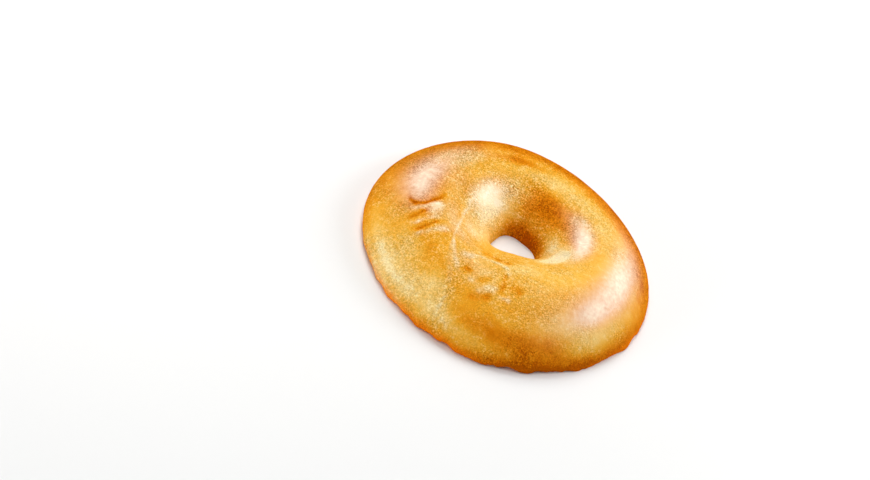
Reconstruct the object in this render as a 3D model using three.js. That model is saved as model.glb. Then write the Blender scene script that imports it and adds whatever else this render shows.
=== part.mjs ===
// The crown half of a plain bagel, sliced through its waist and toasted.
// It lies on its cut face. Millimetres, +Z up, origin at the middle of the cut face's box, on the table.
// +Y runs from the wide side of the ring to the narrow one, and +X to the right of that.
import * as THREE from "three";

// Driving dimensions
const bagelDiameter = 110.7; // mean width of the outline
const crownHeight = 18.7; // from the cut face to the top of the ring
const holeDiameter = 15.6; // at the cut, where the hole is narrowest
const holeOffset = { x: 1.05, y: 4.95 }; // the hole's axis, from the middle of the outline
const crestShare = 0.47; // how far the ring's top lies in from the outline, as a share of the ring's width
const waistHeight = 2.1; // height of the widest point above the cut
const tuck = 1.2; // how far the cut rim draws in under the waist

// How far each of the section's two arcs keeps its course at its ends, as a share of its height or width.
// Both shares are 0.55 in an ellipse.
const outerArc = { upright: 0.24, level: 0.46 };
const innerArc = { level: 0.34, upright: 0.51 };

// Each round size swells and narrows by a few waves round the ring: a share of the size, at an angle in
// degrees.
const outlineWaves = [
  { waves: 2, share: 0.0147, at: -37.6 },
  { waves: 3, share: 0.0026, at: 29.7 },
  { waves: 4, share: 0.0076, at: 9.5 },
];
const holeWaves = [
  { waves: 2, share: 0.141, at: 3 },
  { waves: 3, share: 0.114, at: -15 },
  { waves: 4, share: 0.034, at: 41 },
];
const crownWaves = [
  { waves: 1, share: 0.064, at: -109 },
  { waves: 2, share: 0.066, at: -36 },
];
const crestWaves = [
  { waves: 1, share: 0.0155, at: 127 },
  { waves: 2, share: 0.029, at: -3 },
];
const waistWaves = [{ waves: 1, share: 0.74, at: 130 }];

// Creases and ridges of the dough. Each curves in plan from one point to another, drawn towards a third.
// Its rise is below 0 for a furrow.
const folds = [
  // the two ends of the rope, pressed over each other beside the hole
  { from: [-20.2, 18], via: [-19.2, 5], to: [-20.8, -10], width: 1.1, rise: 0.35 },
  { from: [-21, -2], via: [-18.7, -15], to: [-19.2, -27], width: 1.1, rise: 0.3 },
  { from: [-19.4, -21.5], via: [-18.4, -26.5], to: [-11, -33.5], width: 1.2, rise: 0.3 },
  { from: [-23.5, 17], via: [-23.5, 4], to: [-23.5, -12], width: 2.4, rise: -0.3 },
  { from: [-23, -10], via: [-22.5, -20], to: [-18.5, -31], width: 2.2, rise: -0.25 },
  { from: [-13.5, -20.8], via: [-4, -18.6], to: [3.5, -25.5], width: 1.1, rise: 0.35 },
  { from: [-2, -19.8], via: [4.2, -21.5], to: [4.3, -31], width: 1.1, rise: 0.3 },
  { from: [-10.5, -17.6], via: [-3, -16.2], to: [6, -19.5], width: 1.6, rise: -0.3 },
  // wrinkles on the outer shoulder
  { from: [-41.5, -6.8], via: [-35.2, -12.8], to: [-29.4, -3.2], width: 1.2, rise: -0.6 },
  { from: [-38.8, -19.6], via: [-36.6, -14.4], to: [-31.2, -12.4], width: 1.2, rise: -0.5 },
  { from: [-37, -22], via: [-31, -20.4], to: [-24.6, -15.2], width: 1.3, rise: -0.55 },
  { from: [-40.5, -12.6], via: [-34, -13.2], to: [-28, -5], width: 1.2, rise: 0.35 },
  { from: [-37, -18.9], via: [-32, -18.2], to: [-26.8, -13], width: 1.2, rise: 0.3 },
  // hollows below the seam
  { from: [-12.5, -29.5], via: [-9.5, -32], to: [-5, -36], width: 1.9, rise: -0.4 },
  { from: [1, -27.5], via: [2.8, -31.5], to: [2.5, -37], width: 1.6, rise: -0.4 },
  { from: [5, -31], via: [7, -34], to: [9.5, -38], width: 1.6, rise: -0.35 },
];
const foldSamples = 24;
const foldFade = 0.3; // share of a fold's length over which each end fades out

// Broad, shallow lumps: cosine waves in plan, spread by the golden angle. They fade in between two heights.
const lumps = { waves: 7, rise: 0.06, shortest: 13, longer: 2.3, low: 5, high: 15 };
const goldenAngle = Math.PI * (3 - Math.sqrt(5));

// The torn lip of the cut crust: how far it stands out, in mm, as a mean and waves round the rim. It is most
// ragged on one side.
const lip = {
  out: -0.77,
  height: 4.5,
  at: 292,
  spread: 52,
  least: 0.22,
  waves: [
    { waves: 3, out: 1.0, at: -14 },
    { waves: 6, out: 0.37, at: -18.5 },
    { waves: 9, out: 0.44, at: -6.8 },
    { waves: 16, out: 0.62, at: 3.2 },
    { waves: 24, out: 0.33, at: -5.4 },
    { waves: 30, out: 0.23, at: 5.4 },
  ],
};

// Mesh: columns round the ring, closer together at the wrinkles, and rows over the crown and across the cut.
const columns = 150;
const columnsCloserAt = 200;
const columnsCloser = 0.3;
const waistRows = 3;
const outerRows = 15;
const innerRows = 15;
const cutRows = 5;

const radians = THREE.MathUtils.degToRad;

// 1 plus the waves of a size at one angle
function swell(waves, angle) {
  return waves.reduce((sum, w) => sum + w.share * Math.cos(w.waves * (angle - radians(w.at))), 1);
}

// The angle of a column
function columnAngle(column) {
  const even = (2 * Math.PI * column) / columns;
  return even - columnsCloser * Math.sin(even - radians(columnsCloserAt));
}

// How far round an angle is from the middle of the torn lip, as 1 there and least on the far side
function lipStrength(angle) {
  const away = Math.atan2(Math.sin(angle - radians(lip.at)), Math.cos(angle - radians(lip.at)));
  return lip.least + (1 - lip.least) * Math.exp(-((away / radians(lip.spread)) ** 2));
}

// How far the torn lip stands out at an angle, in mm
function ragged(angle) {
  return lip.waves.reduce((sum, w) => sum + w.out * Math.cos(w.waves * (angle - radians(w.at))), lip.out);
}

// A point of a cubic curve through a and d, drawn towards b and c
function curve(t, a, b, c, d) {
  const u = 1 - t;
  return u * u * u * a + 3 * u * u * t * b + 3 * u * t * t * c + t * t * t * d;
}

// One section of the ring, from the cut rim over the crown to the hole's rim. Its points lie in the upright
// plane through a point of the outline and the point of the hole's rim at the same angle.
function section(angle) {
  const outer = (bagelDiameter / 2) * swell(outlineWaves, angle);
  const inner = (holeDiameter / 2) * swell(holeWaves, angle);
  const top = crownHeight * swell(crownWaves, angle);
  const crest = crestShare * swell(crestWaves, angle);
  const waist = waistHeight * swell(waistWaves, angle);
  const outward = new THREE.Vector2(Math.cos(angle), Math.sin(angle));
  const rim = outward.clone().multiplyScalar(outer);
  const hole = outward.clone().multiplyScalar(inner).add(holeOffset);
  const width = rim.distanceTo(hole);
  const points = [];
  const add = (share, height) => {
    const at = rim.clone().lerp(hole, share);
    points.push(new THREE.Vector3(at.x, at.y, height));
  };
  // below the waist the crust curves in to the cut
  for (let row = 0; row < waistRows; row++) {
    const below = 1 - row / waistRows;
    const drawnIn = ((tuck * waist) / waistHeight) * (1 - Math.sqrt(1 - below * below));
    add(drawnIn / width, (waist * row) / waistRows);
  }
  // upright at the waist and level at the crest
  for (let row = 0; row < outerRows; row++) {
    const t = row / outerRows;
    const rise = curve(t, 0, outerArc.upright, 1, 1);
    add(crest * curve(t, 0, 0, 1 - outerArc.level, 1), waist + (top - waist) * rise);
  }
  // level at the crest and upright at the hole's rim
  for (let row = 0; row <= innerRows; row++) {
    const t = row / innerRows;
    add(crest + (1 - crest) * curve(t, 0, innerArc.level, 1, 1), top * curve(t, 1, 1, innerArc.upright, 0));
  }
  return points;
}

// Height that the folds add at a point in plan
function foldRise(x, y) {
  let sum = 0;
  for (const fold of folds) {
    let nearest = Infinity;
    let along = 0;
    for (let k = 0; k <= foldSamples; k++) {
      const t = k / foldSamples;
      const [a, b, c] = [(1 - t) * (1 - t), 2 * t * (1 - t), t * t];
      const dx = x - (a * fold.from[0] + b * fold.via[0] + c * fold.to[0]);
      const dy = y - (a * fold.from[1] + b * fold.via[1] + c * fold.to[1]);
      const distance = Math.hypot(dx, dy);
      if (distance < nearest) [nearest, along] = [distance, t];
    }
    const fade = THREE.MathUtils.smoothstep(Math.min(along, 1 - along), 0, foldFade);
    sum += fold.rise * fade * Math.exp(-((nearest / fold.width) ** 2));
  }
  return sum;
}

// Height that the lumps add at a point in plan
function lumpRise(x, y) {
  let sum = 0;
  for (let k = 1; k <= lumps.waves; k++) {
    const direction = k * goldenAngle;
    const length = lumps.shortest + lumps.longer * k;
    const along = x * Math.cos(direction) + y * Math.sin(direction);
    sum += lumps.rise * Math.cos((2 * Math.PI * along) / length + 1.7 * k * k);
  }
  return sum;
}

// The grid of the crown, with its relief, as one list of points for each column
function crown() {
  const angles = Array.from({ length: columns }, (_, column) => columnAngle(column));
  const smooth = angles.map(section);
  return smooth.map((points, column) => {
    const before = smooth[(column + columns - 1) % columns];
    const after = smooth[(column + 1) % columns];
    const strength = lipStrength(angles[column]);
    const torn = ragged(angles[column]);
    return points.map((point, row) => {
      const up = points[Math.min(row + 1, points.length - 1)].clone().sub(points[Math.max(row - 1, 0)]);
      const round = after[row].clone().sub(before[row]);
      const normal = round.cross(up).normalize();
      const fade = THREE.MathUtils.smoothstep(point.z, 0.5, 6);
      const lump = THREE.MathUtils.smoothstep(point.z, lumps.low, lumps.high) * lumpRise(point.x, point.y);
      const rise = fade * foldRise(point.x, point.y) + lump;
      const moved = point.clone().addScaledVector(normal, rise);
      if (row < waistRows + outerRows && point.z < lip.height) {
        const low = (1 - point.z / lip.height) ** 2;
        const outward = new THREE.Vector3(point.x, point.y, 0).normalize();
        moved.addScaledVector(outward, strength * torn * low);
      }
      return moved;
    });
  });
}

// Closes the crown with a flat cut face, and makes the whole ring one mesh whose rows and columns both run
// round
function ringGeometry() {
  const grid = crown().map((points) => {
    const rim = points[0];
    const hole = points[points.length - 1];
    const cut = [];
    for (let row = 1; row < cutRows; row++) cut.push(hole.clone().lerp(rim, row / cutRows).setZ(0));
    return [...points, ...cut];
  });
  const rows = grid[0].length;
  const positions = grid.flat().flatMap((point) => [point.x, point.y, point.z]);
  const index = [];
  for (let column = 0; column < columns; column++) {
    const next = ((column + 1) % columns) * rows;
    for (let row = 0; row < rows; row++) {
      const above = (row + 1) % rows;
      const [a, b, c, d] = [column * rows + row, next + row, next + above, column * rows + above];
      index.push(a, b, c, a, c, d);
    }
  }
  const geometry = new THREE.BufferGeometry();
  geometry.setAttribute("position", new THREE.Float32BufferAttribute(positions, 3));
  geometry.setIndex(index);
  return standOnOrigin(geometry);
}

// Moves the middle of the box to the origin in plan, and its lowest point to the table
function standOnOrigin(geometry) {
  geometry.computeBoundingBox();
  const box = geometry.boundingBox;
  geometry.translate(-(box.min.x + box.max.x) / 2, -(box.min.y + box.max.y) / 2, -box.min.z);
  geometry.computeVertexNormals();
  return geometry;
}

const crustMaterial = new THREE.MeshStandardMaterial({ color: 0xe2a04a, roughness: 0.42, metalness: 0 });

const bagel = new THREE.Mesh(ringGeometry(), crustMaterial);
bagel.name = "bagel_crown_half";

const group = new THREE.Group();
group.add(bagel);

export default group;
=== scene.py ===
# The crown half of a toasted plain bagel, with its floor, lights and camera.
# Shapes are worked out in millimetres, in the same form as the solid model, and each mesh puts them in metres.
import math

import bpy
import numpy as np
from mathutils import Matrix, Vector


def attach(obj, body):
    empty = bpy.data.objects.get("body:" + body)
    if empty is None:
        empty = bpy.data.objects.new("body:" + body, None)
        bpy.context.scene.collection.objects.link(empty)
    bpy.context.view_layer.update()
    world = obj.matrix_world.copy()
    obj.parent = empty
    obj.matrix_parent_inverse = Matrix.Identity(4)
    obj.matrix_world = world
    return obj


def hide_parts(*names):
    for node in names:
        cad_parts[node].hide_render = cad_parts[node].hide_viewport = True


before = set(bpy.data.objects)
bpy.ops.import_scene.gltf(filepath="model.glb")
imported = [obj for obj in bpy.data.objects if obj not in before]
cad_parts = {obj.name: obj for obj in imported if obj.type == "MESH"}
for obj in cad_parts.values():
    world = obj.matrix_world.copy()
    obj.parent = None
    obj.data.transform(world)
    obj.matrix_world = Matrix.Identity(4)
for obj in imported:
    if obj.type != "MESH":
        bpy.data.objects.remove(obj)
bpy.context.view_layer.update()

millimetre = 0.001
node = "bagel_crown_half"
print("frame loaded")


# 1 plus a few cosine waves of an angle: share * cos(waves * (angle - at)).
def swell(waves, angle):
    total = np.ones_like(angle)
    for count, share, at in waves:
        total += share * np.cos(count * (angle - math.radians(at)))
    return total


# 0 below low, 1 above high, and 3t^2 - 2t^3 between them.
def smoothStep(value, low, high):
    t = np.clip((value - low) / (high - low), 0, 1)
    return t * t * (3 - 2 * t)


# A random number from 0 to 1 for each whole-number cell, from sines that wrap round.
def cellRandom(i, j, k, seed):
    mixed = np.sin(i * 127.1 + j * 311.7 + k * 74.7 + seed * 53.3) * 43758.5453
    return mixed - np.floor(mixed)


# Smooth noise from -1 to 1: the eight corners of a cell blended by smooth steps along each axis.
def softNoise(x, y, z, size, seed):
    gridX, gridY, gridZ = x / size, y / size, z / size
    i, j, k = np.floor(gridX), np.floor(gridY), np.floor(gridZ)
    u, v, w = (smoothStep(g - c, 0, 1) for g, c in ((gridX, i), (gridY, j), (gridZ, k)))
    total = np.zeros_like(x)
    for a in (0, 1):
        for b in (0, 1):
            for c in (0, 1):
                weight = (u if a else 1 - u) * (v if b else 1 - v) * (w if c else 1 - w)
                total += weight * cellRandom(i + a, j + b, k + c, seed)
    return 2 * total - 1


# Layers of smooth noise added up: share * noise, for each (share, size, seed).
def layeredNoise(x, y, z, layers):
    return sum(share * softNoise(x, y, z, size, seed) for share, size, seed in layers)


# Round pits or domes, one in each square cell: 1 - (distance / radius)^2 inside each, and 0 outside.
# Each has its own place and radius, and a share of the cells is left empty.
def dimples(x, y, size, radius, filled, seed, smallest=0.35):
    i, j = np.floor(x / size), np.floor(y / size)
    deepest = np.zeros_like(x)
    for a in (-1, 0, 1):
        for b in (-1, 0, 1):
            middleX = (i + a + cellRandom(i + a, j + b, 1, seed)) * size
            middleY = (j + b + cellRandom(i + a, j + b, 2, seed)) * size
            own = radius * (smallest + (1 - smallest) * cellRandom(i + a, j + b, 3, seed))
            there = cellRandom(i + a, j + b, 4, seed) < filled
            form = 1 - ((x - middleX) ** 2 + (y - middleY) ** 2) / own**2
            deepest = np.maximum(deepest, np.where(there, form * own / radius, 0))
    return deepest


# How far round each angle is from one given in degrees, from -pi to pi.
def turnFrom(angles, at):
    return np.angle(np.exp(1j * (angles - math.radians(at))))


# A closed mesh from a grid of points whose columns and rows both run round, with point attributes.
def ringMesh(name, points, attributes):
    columns, rows = points.shape[:2]
    column, row = np.meshgrid(np.arange(columns), np.arange(rows), indexing="ij")
    nextColumn, nextRow = (column + 1) % columns, (row + 1) % rows
    corners = [
        column * rows + row,
        nextColumn * rows + row,
        nextColumn * rows + nextRow,
        column * rows + nextRow,
    ]
    faces = np.stack(corners, -1).reshape(-1, 4)
    mesh = bpy.data.meshes.new(name)
    mesh.vertices.add(columns * rows)
    mesh.vertices.foreach_set("co", (points * millimetre).astype(np.float32).ravel())
    mesh.loops.add(faces.size)
    mesh.loops.foreach_set("vertex_index", faces.astype(np.int32).ravel())
    mesh.polygons.add(len(faces))
    mesh.polygons.foreach_set("loop_start", np.arange(0, faces.size, 4, dtype=np.int32))
    mesh.update(calc_edges=True)
    mesh.polygons.foreach_set("use_smooth", np.ones(len(faces), bool))
    for key, values in attributes.items():
        layer = mesh.attributes.new(key, "FLOAT", "POINT")
        layer.data.foreach_set("value", values.astype(np.float32).ravel())
    mesh.validate()
    piece = bpy.data.objects.new(name, mesh)
    bpy.context.scene.collection.objects.link(piece)
    return piece


# Gives a piece its material and says what it rides on and what it replaces.
def finishPiece(piece, material):
    piece.data.materials.append(material)
    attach(piece, "root")
    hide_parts(node)
    print(piece.name, "made")


# Wraps one socket of a node tree. Arithmetic on it adds Math nodes, and node() adds any other node.
class Wire:
    def __init__(self, tree, socket=None):
        self.tree = tree
        self.socket = socket

    # settings are set first, and each socket, by name or number, gets a value or another wire
    def node(self, kind, settings=None, sockets=None, output=0):
        added = self.tree.nodes.new(kind)
        for key, value in (settings or {}).items():
            if key == "stops":
                elements = added.color_ramp.elements
                while len(elements) < len(value):
                    elements.new(1)
                for element, (position, colour) in zip(elements, value):
                    element.position = position
                    element.color = (*colour, 1)
            else:
                setattr(added, key, value)
        for key, value in (sockets or {}).items():
            if isinstance(value, Wire):
                self.tree.links.new(value.socket, added.inputs[key])
            else:
                added.inputs[key].default_value = value
        return Wire(self.tree, added.outputs[output])

    def math(self, operation, first, second):
        return self.node("ShaderNodeMath", {"operation": operation}, {0: first, 1: second})

    def __add__(self, other):
        return self.math("ADD", self, other)

    def __sub__(self, other):
        return self.math("SUBTRACT", self, other)

    def __rsub__(self, other):
        return self.math("SUBTRACT", other, self)

    def __mul__(self, other):
        return self.math("MULTIPLY", self, other)

    __radd__ = __add__
    __rmul__ = __mul__

    def attribute(self, name):
        return self.node("ShaderNodeAttribute", {"attribute_name": name}, output="Fac")

    # the piece's own coordinates in millimetres
    def millimetres(self):
        return self.node("ShaderNodeTexCoord", output="Object").scaled(1 / millimetre)

    # noise from about -0.5 to 0.5, with features of a size in millimetres
    def noise(self, place, size, detail=2, rough=0.5):
        sockets = {"Vector": place, "Scale": 1 / size, "Detail": detail, "Roughness": rough}
        return self.node("ShaderNodeTexNoise", None, sockets) - 0.5

    # a step from 0 to 1 as a wire goes from low to high
    def step(self, low, high):
        sockets = {"Value": self, "From Min": low, "From Max": high}
        return self.node("ShaderNodeMapRange", {"interpolation_type": "SMOOTHSTEP"}, sockets)

    # self is a colour or a place, made larger or smaller
    def scaled(self, share):
        return self.node("ShaderNodeVectorMath", {"operation": "SCALE"}, {0: self, "Scale": share})

    # self is a colour, which turns to another one as share goes from 0 to 1
    def blend(self, colour, share):
        return self.node("ShaderNodeMix", {"data_type": "RGBA"}, {0: share, 6: self, 7: (*colour, 1)}, 2)


# A material and the wires to its surface: constants are set on the shader's own sockets.
def startMaterial(name, constants):
    material = bpy.data.materials.new(name)
    material.use_nodes = True
    surface = material.node_tree.nodes["Principled BSDF"]
    for key, value in constants.items():
        surface.inputs[key].default_value = value
    return material, Wire(material.node_tree), surface


# Joins wires to the surface's sockets, by their names.
def joinSurface(material, surface, wires):
    for key, wire in wires.items():
        material.node_tree.links.new(wire.socket, surface.inputs[key])


# The crust, in mm and in degrees round from +X. A wave is (count, share or mm, degrees), and a noise is (share
# or mm, size, seed). A patch is its middle in plan, half widths along and across, turn and strength.
crust = {
    "diameter": 110.7,  # mean width of the outline
    "crownHeight": 18.7,  # from the cut to the top of the ring
    "holeDiameter": 15.6,
    "holeAt": (1.05, 4.95),
    "crestShare": 0.47,  # how far the ring's top lies in from the outline
    "waistHeight": 2.1,
    "tuck": 1.2,  # how far the cut rim draws in under the waist
    "outerArc": (0.24, 0.46),  # upright at the waist, level at the crest
    "innerArc": (0.34, 0.51),  # level at the crest, upright at the hole
    "outlineWaves": [(2, 0.0147, -37.6), (3, 0.0026, 29.7), (4, 0.0076, 9.5)],
    "holeWaves": [(2, 0.141, 3), (3, 0.114, -15), (4, 0.034, 41)],
    "crownWaves": [(1, 0.064, -109), (2, 0.066, -36)],
    "crestWaves": [(1, 0.0155, 127), (2, 0.029, -3)],
    "waistWaves": [(1, 0.74, 130)],
    # the grid, whose columns stand closer together on one side
    "columns": 760,
    "closerAt": 200,
    "closer": 0.3,
    "waistRows": 8,
    "outerRows": 54,
    "innerRows": 54,
    # relief, which fades in between two heights
    "reliefUp": (0.5, 6),
    "skinUp": (0, 2),
    "wrinkleNoise": [(0.03, 4.5, 3)],
    "skinNoise": [(0.02, 1.9, 5), (0.02, 1.1, 6)],
    "crumpleNoise": [(1, 2.6, 45), (0.7, 1.3, 46)],
    "crumples": [
        ((-30, -17), 8, 5, 60, 0.10),
        ((-24, -26), 7, 4, -60, 0.08),
        ((-7, -32), 10, 5, -25, 0.10),
        ((-33, -39), 12, 5, -40, 0.10),
        ((-22, -48), 12, 4, -25, 0.10),
    ],
    "lumps": {"waves": 7, "rise": 0.04, "shortest": 13, "longer": 2.3, "shift": 1.7, "up": (5, 15)},
    # the torn lip, in waves of mm
    "lip": {
        "out": -0.77,
        "height": 4.5,
        "at": 292,
        "spread": 52,
        "least": 0.22,
        "noise": [(0.45, 1.3, 8)],
        "waves": [
            (3, 1.0, -14),
            (6, 0.37, -18.5),
            (9, 0.44, -6.8),
            (16, 0.62, 3.2),
            (24, 0.33, -5.4),
            (30, 0.23, 5.4),
            (40, 0.32, -1.8),
            (42, 0.26, 0.6),
            (59, 0.17, -2.7),
        ],
    },
    # underneath: a lip of crust along each rim and a recess between them, with two rows inside it
    "lipWidth": 1.1,
    "recess": 2.4,
    "recessRow": 0.35,  # share of the ring's width
    # creases and ridges: from, drawn towards, to in plan, then half width, rise, how much browner, and painted
    # highlight. Browning in the creases is browner crust and painted shade, and the pale ridges carry painted
    # highlight
    "foldFade": 0.3,  # share of a fold's length over which each end fades out
    "foldBend": 0.5,  # how far noise bends the folds
    "bendNoise": [[(1, 3.4, 41), (0.6, 1.5, 42)], [(1, 3.4, 43), (0.6, 1.5, 44)]],  # in X and in Y
    "foldStrength": (0.9, 0.2, 1.4),  # mean, least and most, as noise breaks the folds up
    "breakNoise": [(0.7, 1.9, 47)],
    "folds": [
        # the rope's end, pressed down beside the hole
        ((-18.6, 14), (-21.9, -8), (-18.8, -30), 0.5, 0.42, -0.22, 0.50),
        ((-20.6, -18), (-18.7, -26.5), (-12.2, -36), 0.6, 0.30, -0.16, 0.34),
        ((-19.6, -24), (-17.5, -33), (-13.2, -43), 0.9, 0.14, -0.04, 0.08),
        ((-23.5, 17), (-23.5, 4), (-23.5, -12), 2.4, -0.16, 0.05, 0),
        ((-23, -10), (-22.5, -20), (-18.5, -31), 2.0, -0.14, 0.04, 0),
        # the other end, along the near side of the hole
        ((-16, -27.2), (-5, -20.6), (4.8, -25.4), 0.6, 0.34, -0.22, 0.32),
        ((-1.5, -22.6), (5.4, -25.0), (4.4, -34), 0.9, 0.22, -0.14, 0.14),
        ((-15.4, -26.2), (-12.3, -25.2), (-9.6, -26.8), 1.1, 0.12, -0.10, 0.34),
        ((-9.5, -20.3), (-3, -19.2), (6, -20.8), 1.2, -0.26, 0.30, -0.1),
        # wrinkles on the outer shoulder, each with an orange ground of browner crust and painted shade, and the
        # ridges between them paled with painted highlight
        ((-42.5, -6.5), (-34.5, -16.4), (-28.2, 0.5), 0.55, -0.22, 0.33, -0.35),
        ((-41.5, -7), (-34.5, -15.4), (-28.6, 0), 1.6, -0.10, 0.08, -0.15),
        ((-39.4, -19.6), (-34.6, -15.8), (-30.0, -9.4), 0.6, -0.14, 0.22, -0.2),
        ((-38.8, -19), (-34.8, -15.4), (-30.6, -10), 1.5, -0.06, 0.08, -0.1),
        ((-36.8, -22.2), (-31, -22.2), (-25.0, -13.2), 0.55, -0.17, 0.27, -0.2),
        ((-36.4, -21.8), (-31, -21.8), (-25.6, -14), 1.5, -0.08, 0.08, -0.1),
        ((-40.5, -12.8), (-34, -14.2), (-28, -5), 0.8, 0.18, -0.12, 0.30),
        ((-34, -14.4), (-30.5, -10.8), (-27.0, -6), 1.1, 0.14, -0.10, 0.30),
        ((-37, -20.2), (-32.4, -18.6), (-26.8, -12.6), 0.7, 0.16, -0.12, 0.30),
        ((-35, -25), (-30, -23), (-24.6, -18.4), 1.0, 0.14, -0.10, 0.26),
        # hollows darkened with browner crust and painted shade, and ridges below the seam paled with painted
        # highlight
        ((-12.6, -30.8), (-11, -33), (-8.2, -34), 1.4, -0.22, 0.30, -0.25),
        ((-6.8, -35), (-3.5, -35.5), (-0.8, -31.5), 1.3, -0.22, 0.30, -0.15),
        ((2.4, -27.0), (4.6, -31.5), (1.4, -38), 1.3, -0.30, 0.38, -0.25),
        ((6.0, -32.5), (8.2, -33.8), (11.2, -34.8), 1.3, -0.24, 0.34, -0.15),
        ((-7.8, -40.5), (-3, -41.5), (2, -39.6), 1.4, -0.18, 0.28, -0.1),
        ((-6.2, -39.4), (-0.8, -38.4), (3.4, -34.2), 1.2, 0.22, -0.18, 0.30),
        ((-9.6, -37), (-7.7, -35.4), (-6.0, -37.2), 0.8, 0.16, -0.14, 0.34),
        ((3.4, -39), (5.7, -38), (8.2, -38.8), 0.7, 0.16, -0.14, 0.30),
        # a dent and a scratch near the torn lip
        ((-12.6, -42.6), (-15.6, -45), (-13.4, -48.4), 0.7, 0.22, -0.15, 0.22),
        ((-13, -49), (-11, -50.5), (-7.6, -52.8), 0.45, 0.16, -0.15, 0.12),
    ],
    # browner and paler bands round the ring, some with painted highlight: degrees, half turn, share of the way
    # from the rim to the hole, half of that share's reach, how much browner, and painted highlight
    "bands": [
        (60, 80, 0.1, 0.2, 0.55, 0),  # far edge, darker with painted shade
        (105, 45, 0.3, 0.12, 0.2, 0),
        (150, 40, 0.1, 0.26, 0.2, 0),
        (345, 40, 0.0, 0.08, -0.1, 0),  # right edge
        (180, 24, 0.34, 0.14, 0.5, 0),  # outer shoulder at the left
        # painted highlight on the outer shoulder at the left
        (175, 18, 0.31, 0.13, 0, 0.6),
        (188, 9, 0.33, 0.06, 0, 0.25),
        (202, 8, 0.45, 0.06, 0, 0.35),
        (45, 55, 0.46, 0.09, -0.3, 0),  # far crest
        (20, 30, 0.42, 0.10, 0.1, 0),
        (67, 38, 0.74, 0.13, 0.55, 0),  # far side of the funnel: browner crust and painted shade in the hollow
        (12, 18, 0.70, 0.08, 0.5, 0.4),
        (60, 70, 1.0, 0.05, 0.75, 0),
        (150, 28, 0.76, 0.08, 0, 0.8),  # left side of the funnel, with painted highlight
        (143, 13, 0.86, 0.05, 0, 0.4),
        (160, 45, 0.86, 0.09, -0.55, 0),
        (215, 14, 0.74, 0.05, 0, 0.3),
        (355, 16, 0.70, 0.06, 0, 0.45),  # right side of the funnel, with painted highlight
        (22, 22, 0.65, 0.06, 0, 0.55),
        (335, 22, 0.80, 0.06, -1.15, 0),
        (5, 22, 0.90, 0.06, -0.4, 0),
        (348, 30, 0.28, 0.12, 0.4, 0.7),  # right shoulder, with painted highlight
        (323, 10, 0.22, 0.07, 0.4, 0.35),
        (355, 16, 0.38, 0.07, 0, 0.2),
        (315, 20, 0.14, 0.09, -0.25, 0),
        (312, 20, 0.58, 0.10, -0.15, 0),
        (235, 26, 0.08, 0.10, -0.25, 0),  # near shoulder at the left
        (222, 8, 0.03, 0.05, 0, 0.05),
        (228, 20, 0.32, 0.12, 0.1, 0),
        (265, 22, 0.25, 0.10, 0.1, 0),
        (280, 30, 0.02, 0.08, -0.55, 0),  # near slope
        (285, 16, 0.10, 0.06, 0.55, 0),  # browner and paler streaks between these
        (340, 14, 0.10, 0.06, -0.3, 0),
        (356, 10, 0.17, 0.05, -0.2, 0),
        (185, 22, 0.72, 0.05, -0.1, 0),
        (92, 12, 0.86, 0.05, 0.25, 0),
        (85, 30, 0.58, 0.06, -0.15, 0),
        (108, 18, 0.46, 0.05, 0.45, 0),
        (222, 22, 0.03, 0.05, -0.45, 0),
        (148, 18, 0.43, 0.06, -0.2, 0.2),
        (150, 14, 0.32, 0.07, 0, 0.2),
        (38, 12, 0.60, 0.05, 0, 0.2),
        (302, 10, 0.10, 0.06, 0.25, 0),
        (295, 14, 0.03, 0.05, 0.3, 0),
        (322, 9, 0.08, 0.06, -0.25, 0),
        (283, 16, 0.60, 0.07, -0.3, 0),
        (89, 18, 0.52, 0.06, -0.15, 0),
        (108, 14, 0.71, 0.07, -0.25, 0),
        (222, 9, 0.21, 0.07, -0.2, 0),
        (260, 14, 0.39, 0.08, -0.2, 0.05),
        (200, 9, 0.63, 0.06, 0.05, 0),
        (169, 12, 0.56, 0.06, 0.05, 0.1),
        (258, 12, 0.12, 0.06, 0.3, 0),
        (156, 12, 0.30, 0.07, -0.25, 0),
        (15, 18, 0.35, 0.06, -0.25, 0),
        (296, 12, 0.42, 0.07, 0, 0.05),
        (309, 12, 0.20, 0.07, 0, 0.15),
        (256, 16, 0.02, 0.035, 0.15, 0),
        (172, 20, 0.84, 0.07, 0, 0.15),
        (338, 14, 0.81, 0.06, 0, 0.4),
        (215, 22, 0.60, 0.06, 0, 0.25),
    ],
    # browner and paler spots, some with painted highlight: patches with how much browner, and painted highlight
    "spots": [
        ((-9, -32), 5, 2.8, -45, 0.2, 0),
        ((1.6, -31), 2.6, 1.6, 70, -0.1, 0),
        ((6.5, -34.5), 4.2, 3, -30, 0.1, 0),
        ((-26, -28), 4.5, 2.6, -40, 0.05, 0),
        ((-8, -30), 7, 4, -20, 0, 0.1),
        ((-12, -25), 5, 3, -60, -0.05, 0),
        ((-12.5, -26.2), 2.8, 1.6, 20, 0, 0.2),
        ((-12.5, -5), 7, 3.5, 80, -0.15, 0.1),
        ((-24.5, -18.5), 2.4, 1.4, 30, 0, 0.45),
        ((21, -46.5), 6.5, 3.6, 31, -0.05, 0),
        ((-14, -46), 6, 4, -25, -0.3, 0),
        ((-19, -41), 4, 3, -25, -0.2, 0),
        ((1.5, -47), 4.5, 3, 10, 0.05, 0),
    ],
    # patches where the skin is smoother and glossier, or duller below 0
    "smooths": [
        ((-41, 2), 8, 4.5, 80, 0.8),
        ((-17, 12), 8, 4, 80, 0.9),
        ((-11, 0), 9, 3.5, 85, 0.6),
        ((25, 13), 8, 3.5, 100, 0.8),
        ((33, 8), 14, 5, 85, 0.5),
        ((42, -3), 15, 5, 85, 0.75),
        ((38, -22), 12, 5, 55, 0.8),
        ((-30, -32), 9, 5, -40, 0.4),
        ((51, -10), 16, 3.5, 75, -0.7),
        ((-20, 50), 30, 5, 20, -0.8),
        ((20, 48), 22, 5, -25, -0.6),
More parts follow.
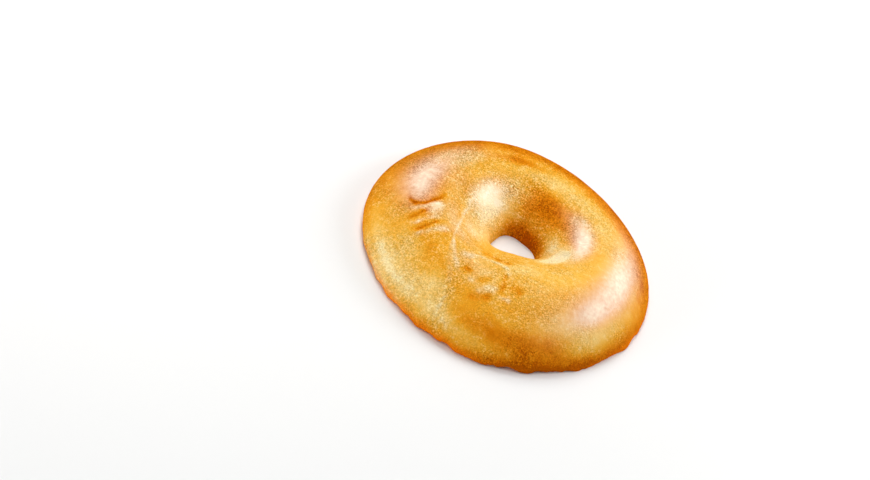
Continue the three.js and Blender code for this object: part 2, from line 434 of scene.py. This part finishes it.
    ],
    # patches with a finer and calmer grain
    "calms": [
        ((41, -14), 22, 9, 65, 0.75),
        ((-41, -1), 11, 6, 80, 0.6),
        ((-30, -50), 25, 4, -35, 0.2),
        ((-50, 6), 22, 7, 85, 0.3),
        ((10, -46), 24, 7, 5, 0.5),
        ((33, -2), 22, 11, 75, 0.4),
        ((34, -30), 13, 9, 40, 0.4),
        ((51, -6), 18, 5, 82, 0.5),
    ],
    "grainNoise": [(0.5, 7, 51)],
    "grainRange": (0.1, 1.5),
    "fringeGrain": (0.25, 0.03, 0.15),  # more grain as the painted highlight goes between two values
    "paintedHighlightGrain": (0.85, 0.3, 0.65),  # and less grain where the painted highlight is full
    # browning down the outer slope, which is painted shade growing darker towards the bottom, and at its rim,
    # toasted crust with painted shade along the lowest edge, with the least share of it away from the torn lip
    "paintedSlopeShade": 0.58,
    "slopeShadeHeight": 14,
    "slopeShadeFall": 1.2,
    "slopeShadeLeast": 0.3,
    "rimHeight": 4.0,
    "rimLeast": 0.35,
    "rimToastAndShade": 1.2,
    # a darker stretch of the rim at the bottom: burnt crust and painted shade
    "burntAndShadeAt": 298,
    "burntAndShadeReach": 0.6,  # radians
    "burntAndShadeTone": 1.0,
    "burntAndShadeCover": 0.8,  # how much of the toasted orange it hides
    "brownest": 0.40,  # above this it browns less
    "brownestLoss": 0.65,
    "underside": {"browning": 0.3, "toast": 0.8, "bloom": 0, "smooth": 0, "grain": 1},
    # colours
    "tones": [  # from pale to dark
        (0.0, (0.97, 0.76, 0.37)),
        (0.18, (0.92, 0.60, 0.18)),
        (0.4, (0.87, 0.465, 0.07)),
        (0.6, (0.82, 0.352, 0.02)),
        (0.78, (0.745, 0.252, 0.007)),
        (0.9, (0.65, 0.187, 0.003)),
        (1.0, (0.49, 0.105, 0.001)),
    ],
    # the whitish colour of the painted highlight
    "paintedHighlightColour": (0.96, 0.86, 0.68),
    "creamy": (0.96, 0.72, 0.36),
    # the deep orange of the toasted rim, which also carries painted shade along its lowest edge
    "toasted": (0.92, 0.20, 0.004),
    "tone": 0.48,
    # noises of the colour: size, detail and roughness, and then their strengths
    "cloudNoise": (10, 3, 0.5),
    "mottleNoise": (3.2, 3, 0.6),
    "blisterNoise": (0.52, 1, 0.6),
    "clumpNoise": (1.5, 2, 0.5),
    "fleckNoise": (0.6, 1.5, 0.7),
    "cloud": 0.30,
    "mottle": 0.30,
    "clump": 0.33,
    "speck": 0.35,
    # painted glints: the colour brightens and darkens with the finest grain, together with the crust's own fine
    # specks
    "paintedGlintAndSpeckle": 1.05,
    "flecks": 0.42,
    "blisterHeight": 0.7,
    "mottleHeight": 0.2,
    # where painted highlight, browning with its painted shade, and toast take hold, and how the noises shape
    # them
    "paintedHighlightFrom": (0.05, 0.4),
    "paintedHighlightCalm": 0.7,  # how much less uneven the colour is under the painted highlight
    "paintedHighlightMottle": 0.5,
    "paintedHighlightFine": 2.2,
    "paintedHighlightGlintLoss": 0.5,  # how many fewer painted glints there are under the painted highlight
    "flecksFrom": (0.03, 0.32),
    "flecksClump": 0.6,
    "flecksMottle": 0.4,
    "flecksEnd": (0.1, 0.4),  # browning in which they end
    "toastAndShadeFrom": (0.1, 1.0),
    "toastAndShadeMottle": 0.5,
    # sheen
    "ior": 1.5,
    "roughness": 0.40,
    "roughnessChange": 0.2,
    "smoothness": 0.06,
    "specular": 0.0,
    "gloss": 0.6,
    "glossRoughness": 0.5,
    "glossFlecks": 2.5,
}


# Angles round the ring, closer together at the wrinkles: even - closer * sin(even - closerAt).
def ringAngles():
    even = np.arange(crust["columns"]) * 2 * math.pi / crust["columns"]
    return even - crust["closer"] * np.sin(even - math.radians(crust["closerAt"]))


# A cubic curve through a and d, drawn towards b and c: (1-t)^3 a + 3(1-t)^2 t b + 3(1-t) t^2 c + t^3 d.
def curve(t, a, b, c, d):
    u = 1 - t
    return u**3 * a + 3 * u * u * t * b + 3 * u * t * t * c + t**3 * d


# One section for each angle, between a point of the outline and one of the hole's rim: below the waist the
# crust curves in to the cut, and above it two cubic curves meet level at the crest.
def crownForm(angles):
    waistRows, outerRows, innerRows = crust["waistRows"], crust["outerRows"], crust["innerRows"]
    outward = np.stack([np.cos(angles), np.sin(angles)], -1)
    rim = outward * (crust["diameter"] / 2 * swell(crust["outlineWaves"], angles))[:, None]
    hole = outward * (crust["holeDiameter"] / 2 * swell(crust["holeWaves"], angles))[:, None] + crust["holeAt"]
    top = crust["crownHeight"] * swell(crust["crownWaves"], angles)[:, None]
    crest = crust["crestShare"] * swell(crust["crestWaves"], angles)[:, None]
    waist = crust["waistHeight"] * swell(crust["waistWaves"], angles)[:, None]
    width = np.linalg.norm(rim - hole, axis=1)[:, None]
    below = 1 - np.arange(waistRows)[None, :] / waistRows
    shareLow = crust["tuck"] * waist / crust["waistHeight"] * (1 - np.sqrt(1 - below**2)) / width
    heightLow = waist * (1 - below)
    t = np.arange(outerRows)[None, :] / outerRows
    shareOuter = crest * curve(t, 0, 0, 1 - crust["outerArc"][1], 1)
    heightOuter = waist + (top - waist) * curve(t, 0, crust["outerArc"][0], 1, 1)
    t = np.arange(innerRows + 1)[None, :] / innerRows
    shareInner = crest + (1 - crest) * curve(t, 0, crust["innerArc"][0], 1, 1)
    heightInner = top * curve(t, 1, 1, crust["innerArc"][1], 0)
    share = np.concatenate([shareLow, shareOuter, shareInner], 1)[..., None]
    height = np.concatenate([heightLow, heightOuter, heightInner], 1)[..., None]
    plan = rim[:, None, :] * (1 - share) + hole[:, None, :] * share
    return np.concatenate([plan, height], -1)


# Unit normals of a grid whose columns run round, from differences along its two directions.
def gridNormals(points):
    aroundRing = np.roll(points, -1, 0) - np.roll(points, 1, 0)
    overCrown = np.gradient(points, axis=1)
    normals = np.cross(aroundRing, overCrown)
    return normals / np.maximum(np.linalg.norm(normals, axis=-1, keepdims=True), 1e-9)


# Form of one fold at points in plan: exp(-(distance / width)^2), where distance is to a bend through three
# points, and each end fades out.
def oneFold(x, y, fold, samples=40):
    start, via, end, width = fold[:4]
    nearest = np.full_like(x, 1e9)
    along = np.zeros_like(x)
    for t in np.linspace(0, 1, samples + 1):
        weights = ((1 - t) ** 2, 2 * t * (1 - t), t * t)
        middle = [sum(w * p[axis] for w, p in zip(weights, (start, via, end))) for axis in (0, 1)]
        distance = np.hypot(x - middle[0], y - middle[1])
        closer = distance < nearest
        nearest = np.where(closer, distance, nearest)
        along = np.where(closer, t, along)
    ends = smoothStep(np.minimum(along, 1 - along), 0, crust["foldFade"])
    return ends * np.exp(-((nearest / width) ** 2))


# Form of every fold, bent by noise in X and in Y, and broken up by more noise.
def foldForms(x, y, z):
    bends = [crust["foldBend"] * layeredNoise(x, y, z, layers) for layers in crust["bendNoise"]]
    mean, least, most = crust["foldStrength"]
    broken = np.clip(mean + layeredNoise(x, y, z, crust["breakNoise"]), least, most)
    return [broken * oneFold(x + bends[0], y + bends[1], fold) for fold in crust["folds"]]


# Form of every band: exp(-(turn / half turn)^2 - ((share - middle) / reach)^2).
def bandForms(angles, share):
    forms = []
    for band in crust["bands"]:
        at, halfTurn, middle, reach = band[:4]
        turn = turnFrom(angles, at)[:, None] / math.radians(halfTurn)
        forms.append(np.exp(-(turn**2) - ((share - middle) / reach) ** 2))
    return forms


# Sum of each row's form times one of its values.
def weigh(rows, forms, value):
    return sum(row[value] * form for row, form in zip(rows, forms))


# Sum of the patches in plan: each falls off as exp(-(u^2 + v^2)) with u, v along and across its turned axes.
def patchSum(x, y, patches, value=4):
    total = np.zeros_like(x)
    for patch in patches:
        (middleX, middleY), along, across, turn = patch[:4]
        c, s = math.cos(math.radians(turn)), math.sin(math.radians(turn))
        u = ((x - middleX) * c + (y - middleY) * s) / along
        v = ((y - middleY) * c - (x - middleX) * s) / across
        total += patch[value] * np.exp(-(u * u + v * v))
    return total


# Broad lumps in plan: cosine waves whose directions are spread by the golden angle.
def lumpRise(x, y):
    lumps = crust["lumps"]
    golden = math.pi * (3 - math.sqrt(5))
    total = np.zeros_like(x)
    for k in range(1, lumps["waves"] + 1):
        along = x * math.cos(k * golden) + y * math.sin(k * golden)
        length = lumps["shortest"] + lumps["longer"] * k
        total += lumps["rise"] * np.cos(2 * math.pi * along / length + lumps["shift"] * k * k)
    return total


# How far the skin rises, in mm: folds, crumples, broad lumps, wrinkles and fine skin added up.
def skinRise(x, y, z, folded):
    up = smoothStep(z, *crust["reliefUp"])
    rise = up * weigh(crust["folds"], folded, 4)
    rise += up * patchSum(x, y, crust["crumples"]) * layeredNoise(x, y, z, crust["crumpleNoise"])
    rise += smoothStep(z, *crust["lumps"]["up"]) * lumpRise(x, y)
    rise += up * layeredNoise(x, y, z, crust["wrinkleNoise"])
    rise += smoothStep(z, *crust["skinUp"]) * layeredNoise(x, y, z, crust["skinNoise"])
    return rise


# Strength of the torn lip round the rim: 1 at its middle, falling as exp(-(turn / spread)^2) to least.
def lipStrength(angles):
    lip = crust["lip"]
    turn = turnFrom(angles, lip["at"]) / math.radians(lip["spread"])
    return lip["least"] + (1 - lip["least"]) * np.exp(-(turn**2))


# Shift of the torn lip away from the ring's middle: its waves and noise, times its strength and (1 - height)^2,
# with the height as a share of the lip's.
def lipShift(angles, form, outerHalf):
    lip = crust["lip"]
    x, y, z = np.moveaxis(form, -1, 0)
    waves = sum(out * np.cos(count * (angles - math.radians(at))) for count, out, at in lip["waves"])
    torn = (lip["out"] + waves)[:, None] + layeredNoise(x, y, z, lip["noise"])
    low = np.where(outerHalf & (z < lip["height"]), (1 - z / lip["height"]) ** 2, 0)
    outward = form * [1, 1, 0]
    outward = outward / np.linalg.norm(outward, axis=-1, keepdims=True)
    return outward * (torn * lipStrength(angles)[:, None] * low)[..., None]


# Rows that close the crust underneath, from the hole's rim to the outer one.
def underRows(points):
    rim, hole = points[:, :1], points[:, -1:]
    inward = (hole - rim) * [1, 1, 0]
    width = np.linalg.norm(inward, axis=-1, keepdims=True)
    inward = inward / width
    step, inside = inward * crust["lipWidth"], inward * width * crust["recessRow"]
    deep = np.array([0, 0, crust["recess"]])
    holeSide = [hole - step / 2, hole - step, hole - step + deep, hole - inside + deep]
    rimSide = [rim + inside + deep, rim + step + deep, rim + step, rim + step / 2]
    return holeSide + rimSide


# The crust's attributes on the crown: browning and painted highlight by fold, spot and band, painted shade down
# the outer slope, a toasted rim with painted shade along its lowest edge and a burnt stretch that is partly
# painted shade, smooth places, and grain.
def crustValues(angles, form, outerHalf, folded):
    x, y, z = np.moveaxis(form, -1, 0)
    up = smoothStep(z, *crust["reliefUp"])
    across = form[..., :2] - form[:, :1, :2]
    share = np.linalg.norm(across, axis=-1) / np.linalg.norm(across[:, -1:], axis=-1)
    banded = bandForms(angles, share)
    strength = lipStrength(angles)[:, None]
    browning = up * weigh(crust["folds"], folded, 5) + patchSum(x, y, crust["spots"])
    browning += weigh(crust["bands"], banded, 4)
    # painted shade down the outer slope, darker towards the bottom
    slopeShade = crust["paintedSlopeShade"] * (crust["slopeShadeLeast"] + (1 - crust["slopeShadeLeast"]) * strength)
    slopeShade = slopeShade * (1 - smoothStep(z, 0, crust["slopeShadeHeight"])) ** crust["slopeShadeFall"]
    browning += np.where(outerHalf, slopeShade, 0)
    # the toasted rim, which is also painted shade along the lowest edge
    rim = np.where(outerHalf, np.exp(-((z / crust["rimHeight"]) ** 2)), 0)
    rim = rim * (crust["rimLeast"] + (1 - crust["rimLeast"]) * strength)
    # a burnt stretch of the rim at the bottom, partly painted shade
    burnt = np.exp(-((turnFrom(angles, crust["burntAndShadeAt"]) / crust["burntAndShadeReach"]) ** 2))[:, None]
    toast = crust["rimToastAndShade"] * rim * (1 - crust["burntAndShadeCover"] * burnt)
    browning += crust["burntAndShadeTone"] * rim * burnt
    browning -= crust["brownestLoss"] * np.maximum(browning - crust["brownest"], 0)
    # painted highlight, by fold, spot and band
    bloom = up * weigh(crust["folds"], folded, 6) + patchSum(x, y, crust["spots"], 5)
    bloom = np.maximum(bloom + weigh(crust["bands"], banded, 5), 0)
    smooth = np.clip(patchSum(x, y, crust["smooths"]), -1, 1)
    grain = 1 - patchSum(x, y, crust["calms"]) + layeredNoise(x, y, z, crust["grainNoise"])
    more, *fringe = crust["fringeGrain"]
    less, *full = crust["paintedHighlightGrain"]
    grain = np.clip(grain, *crust["grainRange"])
    grain *= (1 + more * smoothStep(bloom, *fringe)) * (1 - less * smoothStep(bloom, *full))
    return {"browning": browning, "toast": toast, "bloom": bloom, "smooth": smooth, "grain": grain}


# The crust: the crown's form raised by its relief, its torn lip, and the rows that close it underneath. Gives
# the plan of the cut's two rims, and the shift that puts its box's middle on the origin.
def makeCrust():
    angles = ringAngles()
    form = crownForm(angles)
    x, y, z = np.moveaxis(form, -1, 0)
    outerHalf = np.arange(form.shape[1])[None, :] < crust["waistRows"] + crust["outerRows"]
    folded = foldForms(x, y, z)
    points = form + gridNormals(form) * skinRise(x, y, z, folded)[..., None]
    points = points + lipShift(angles, form, outerHalf)
    under = underRows(points)
    grid = np.concatenate([points, *under], 1)
    values = crustValues(angles, form, outerHalf, folded)
    for key, value in crust["underside"].items():
        values[key] = np.concatenate([values[key], np.full((len(angles), len(under)), value)], 1)
    flat = grid.reshape(-1, 3)
    shift = -(flat.min(0) + flat.max(0)) / 2 * [1, 1, 0]
    finishPiece(ringMesh("crust", grid + shift, values), crustMaterial())
    return points[:, 0, :2], points[:, -1, :2], shift


# Tone, from 0 for pale to 1 for brown, picks the colour: browning with its painted shade, and clouds, mottles,
# clumps and specks of noise. Over it lie creamy flecks, a whitish painted highlight, the toasted rim with its
# painted shade, and painted glints from the finest grain.
def crustMaterial():
    constants = {
        "IOR": crust["ior"],
        "Specular IOR Level": crust["specular"],
        "Coat Roughness": crust["glossRoughness"],
        "Coat IOR": crust["ior"],
    }
    material, wire, surface = startMaterial("crust", constants)
    place = wire.millimetres()
    cloud = wire.noise(place, *crust["cloudNoise"])
    mottle = wire.noise(place, *crust["mottleNoise"])
    blister = wire.noise(place, *crust["blisterNoise"])
    clump = wire.noise(place, *crust["clumpNoise"])
    fleck = wire.noise(place, *crust["fleckNoise"])
    # browning holds painted shade as well, toast holds painted shade along the lowest edge, and the painted
    # highlight comes last
    browning = wire.attribute("browning")
    toast = wire.attribute("toast")
    bloom = wire.attribute("bloom")
    smooth = wire.attribute("smooth")
    grain = wire.attribute("grain")
    fine = grain * fleck
    uneven = crust["cloud"] * cloud + crust["mottle"] * mottle
    uneven = uneven * (1 - crust["paintedHighlightCalm"] * bloom.step(*crust["paintedHighlightFrom"]))
    tone = crust["tone"] + browning + uneven
    tone = tone - grain * crust["clump"] * clump - crust["speck"] * fine
    colour = wire.node("ShaderNodeValToRGB", {"stops": crust["tones"]}, {0: tone})
    flecks = fine + crust["flecksClump"] * clump - crust["flecksMottle"] * mottle
    flecks = crust["flecks"] * flecks.step(*crust["flecksFrom"]) * (1 - browning.step(*crust["flecksEnd"]))
    colour = colour.blend(crust["creamy"], flecks)
    # painted highlight: a whitish veil over the colour
    paintedHighlightVeil = bloom * (1 - crust["paintedHighlightMottle"] * mottle + clump + crust["paintedHighlightFine"] * fine)
    colour = colour.blend(crust["paintedHighlightColour"], paintedHighlightVeil)
    # the toasted rim, with painted shade along its lowest edge
    orange = (toast + crust["toastAndShadeMottle"] * mottle).step(*crust["toastAndShadeFrom"])
    colour = colour.blend(crust["toasted"], orange)
    # painted glints: the colour brightens and darkens with the finest grain
    colour = colour.scaled(1 + crust["paintedGlintAndSpeckle"] * fine * (1 - crust["paintedHighlightGlintLoss"] * bloom))
    roughness = crust["roughness"] + crust["roughnessChange"] * (mottle + cloud) - crust["smoothness"] * smooth
    height = crust["blisterHeight"] * blister * grain + crust["mottleHeight"] * mottle
    normal = wire.node("ShaderNodeBump", None, {"Strength": 1.0, "Distance": millimetre, "Height": height})
    gloss = crust["gloss"] * smooth.step(0, 1) * (1 + crust["glossFlecks"] * fine)
    wires = {"Base Color": colour, "Roughness": roughness, "Coat Weight": gloss, "Normal": normal}
    joinSurface(material, surface, wires)
    return material


# The crumb, in mm. Its pores come in three sizes.
crumb = {
    "columns": 620,
    "rows": 112,
    "gap": 0.9,  # in from the crust's rims
    "top": 2.35,
    "lowest": 0.25,
    "wall": 0.4,  # least thickness over a pore
    "pores": [  # cell, radius, depth, share of the cells filled, seed
        (5.2, 1.9, 1.5, 0.45, 11),
        (2.9, 1.1, 1.0, 0.6, 12),
        (1.7, 0.62, 0.6, 0.7, 13),
    ],
    "poreBend": (0.35, 1.3, 20),  # noise that bends a pore's rim: shares of its radius, and more than its seed
    "unevenness": (0.22, 7, 21),  # mm, size, seed
    "fineness": (0.06, 0.7, 31),
    "toasted": (0.78, 0.33, 0.045),
    "pale": (0.93, 0.64, 0.24),
    "burnt": (0.16, 0.045, 0.008),
    # noises of the colour: size, detail and roughness
    "mottleNoise": (3.5, 3, 0.6),
    "grainNoise": (0.7, 2, 0.5),
    "patchNoise": (14, 2, 0.5),
    "burntNoise": (4.0, 2, 0.5),
    "poreShade": 0.55,
    "mottleShade": 1.4,
    "grainShade": 0.7,
    "shadeFrom": (-0.1, 0.8),
    "paleAt": 0.6,
    # the dark patches come more often in the pores
    "darkerInPores": 0.35,
    "burntFrom": (0.40, 0.62),
    "bump": 0.5,
    "bumpHeight": 0.3,
    "ior": 1.45,
    "roughness": 0.8,
    "roughnessChange": 0.2,
}


# The cut face of the crumb: a flat ring between the rims, with round pores of three sizes that go up into it,
# closed by walls and a top that lie inside the crust.
def makeCrumb(rim, hole, shift):
    columns = crumb["columns"]
    at = np.arange(columns) * len(rim) // columns
    rim, hole = rim[at], hole[at]
    inward = (hole - rim) / np.linalg.norm(hole - rim, axis=-1, keepdims=True)
    rim, hole = rim + inward * crumb["gap"], hole - inward * crumb["gap"]
    share = np.linspace(0, 1, crumb["rows"])[None, :, None]
    plan = rim[:, None] * (1 - share) + hole[:, None] * share
    x, y = plan[..., 0], plan[..., 1]
    level = np.zeros_like(x)
    uneven, size, seed = crumb["unevenness"]
    depth = crumb["lowest"] + uneven * (1 + softNoise(x, y, level, size, seed)) / 2
    pore = np.zeros_like(x)
    bendShare, bendSize, moreSeed = crumb["poreBend"]
    for size, radius, deep, filled, seed in crumb["pores"]:
        bend = bendShare * radius * softNoise(x, y, level, radius * bendSize, seed + moreSeed)
        pore = np.maximum(pore, deep * np.sqrt(dimples(x + bend, y - bend, size, radius, filled, seed)))
    depth = np.minimum(depth + pore, crumb["top"] - crumb["wall"])
    depth = depth + layeredNoise(x, y, level, [crumb["fineness"]])
    face = np.concatenate([plan, depth[..., None]], -1)
    top = np.full((columns, 2, 3), crumb["top"])
    top[:, 0, :2], top[:, 1, :2] = hole, rim
    grid = np.concatenate([face, top], 1)[:, ::-1]
    pores = np.concatenate([pore, np.zeros((columns, 2))], 1)[:, ::-1]
    finishPiece(ringMesh("crumb", grid + shift, {"pore": pores}), crumbMaterial())


# Toasted gold between the pores and paler inside them, with a few burnt patches, and darker patches more often
# in the pores.
def crumbMaterial():
    material, wire, surface = startMaterial("crumb", {"IOR": crumb["ior"], "Coat Weight": 0})
    place = wire.millimetres()
    mottle = wire.noise(place, *crumb["mottleNoise"])
    grain = wire.noise(place, *crumb["grainNoise"])
    patch = wire.noise(place, *crumb["patchNoise"])
    pore = wire.attribute("pore")
    shade = pore * crumb["poreShade"] + mottle * crumb["mottleShade"] + grain * crumb["grainShade"] + patch
    stops = [(0, crumb["toasted"]), (crumb["paleAt"], crumb["pale"])]
    colour = wire.node("ShaderNodeValToRGB", {"stops": stops}, {0: shade.step(*crumb["shadeFrom"])})
    dark = wire.noise(place, *crumb["burntNoise"]) + crumb["darkerInPores"] * pore
    colour = colour.blend(crumb["burnt"], dark.step(*crumb["burntFrom"]))
    distance = crumb["bumpHeight"] * millimetre
    sockets = {"Strength": crumb["bump"], "Distance": distance, "Height": grain + mottle}
    normal = wire.node("ShaderNodeBump", None, sockets)
    roughness = crumb["roughness"] + crumb["roughnessChange"] * grain
    joinSurface(material, surface, {"Base Color": colour, "Roughness": roughness, "Normal": normal})
    return material


# The camera. Its place is in metres and degrees.
view = {
    "frame": (870, 480),  # pixels
    "bagelAt": (505.3, 258.5),  # where the ring's middle falls in that frame
    "distance": 0.7622,
    "elevation": 43.0,
    "roll": 23.84,
    "lens": 85,
    "sensor": 36,
    "clip": (0.01, 20),
}


# The camera stands on a ray raised over the near side and is rolled, then turned a little so that the
# middle of the ring falls on its pixel: the ray to it, (right, up, -lens), turns onto the view's axis.
def makeCamera(middle):
    tilt, roll = math.radians(view["elevation"]), math.radians(view["roll"])
    back = Vector((0, -math.cos(tilt), math.sin(tilt)))
    right = Vector((1, 0, 0))
    up = back.cross(right)
    cameraRight = right * math.cos(roll) + up * math.sin(roll)
    cameraUp = up * math.cos(roll) - right * math.sin(roll)
    facing = Matrix((cameraRight, cameraUp, back)).transposed()
    width, height = view["frame"]
    lensPixels = view["lens"] / view["sensor"] * width
    ray = Vector((view["bagelAt"][0] - width / 2, height / 2 - view["bagelAt"][1], -lensPixels)).normalized()
    aim = ray.rotation_difference(Vector((0, 0, -1))).to_matrix()
    data = bpy.data.cameras.new("camera")
    data.lens = view["lens"]
    data.sensor_width = view["sensor"]
    data.clip_start, data.clip_end = view["clip"]
    camera = bpy.data.objects.new("camera", data)
    camera.matrix_world = Matrix.Translation(back * view["distance"] + middle) @ (facing @ aim).to_4x4()
    bpy.context.scene.collection.objects.link(camera)
    bpy.context.scene.camera = camera
    print("camera placed")


# The studio, in metres. Each softbox has its direction (degrees round and up) and distance, its size, its
# watts, and whether it lights the crust's colour or its gloss.
studio = {
    "softboxes": {
        "overhead": ((112, 55, 1.0), (0.5, 0.5), 6.7, "colour"),
        "front": ((235, 76, 1.0), (0.8, 0.8), 4.0, "colour"),
        "right": ((22, 30, 1.0), (0.5, 0.4), 5.8, "colour"),
        "lowLeft": ((228, 10, 1.0), (0.4, 0.3), 4.3, "colour"),
        "rightGloss": ((30, 30, 1.0), (0.9, 0.6), 20.0, "gloss"),
        "farGloss": ((120, 31, 1.0), (0.6, 0.6), 8.0, "gloss"),
        "leftGloss": ((202, 17, 1.0), (0.6, 0.6), 5.5, "gloss"),
    },
    "glossTint": (1.0, 0.88, 0.78),
    "world": (1, 1, 1),
    "worldStrength": 0.05,
    "floorSize": 6,
    "floorColour": (0.79, 0.80, 0.80),
}


# One softbox, which faces the middle of the floor.
def makeLight(name, place, size, watts, lights):
    data = bpy.data.lights.new(name, "AREA")
    data.shape = "RECTANGLE"
    data.size, data.size_y = size
    data.energy = watts
    if lights == "gloss":
        data.color = studio["glossTint"]
    light = bpy.data.objects.new(name, data)
    turn, rise, distance = math.radians(place[0]), math.radians(place[1]), place[2]
    direction = Vector((math.cos(rise) * math.cos(turn), math.cos(rise) * math.sin(turn), math.sin(rise)))
    light.location = direction * distance
    light.rotation_euler = (-direction).to_track_quat("-Z", "Y").to_euler()
    light.visible_diffuse = lights == "colour"
    light.visible_glossy = lights == "gloss"
    bpy.context.scene.collection.objects.link(light)


# A plain pale floor, the softboxes, and a faint even light all round.
def makeStudio():
    bpy.ops.mesh.primitive_plane_add(size=studio["floorSize"])
    floor = bpy.context.object
    floor.name = "floor"
    floor.data.materials.append(startMaterial("floor", {"Base Color": (*studio["floorColour"], 1)})[0])
    for name, values in studio["softboxes"].items():
        makeLight(name, *values)
    world = bpy.data.worlds.new("studio")
    world.use_nodes = True
    background = world.node_tree.nodes["Background"]
    background.inputs["Color"].default_value = (*studio["world"], 1)
    background.inputs["Strength"].default_value = studio["worldStrength"]
    bpy.context.scene.world = world
    bpy.context.scene.view_settings.view_transform = "Standard"
    print("floor and lights made")


rim, hole, shift = makeCrust()
makeCrumb(rim, hole, shift)
makeCamera(Vector(shift * millimetre))
makeStudio()
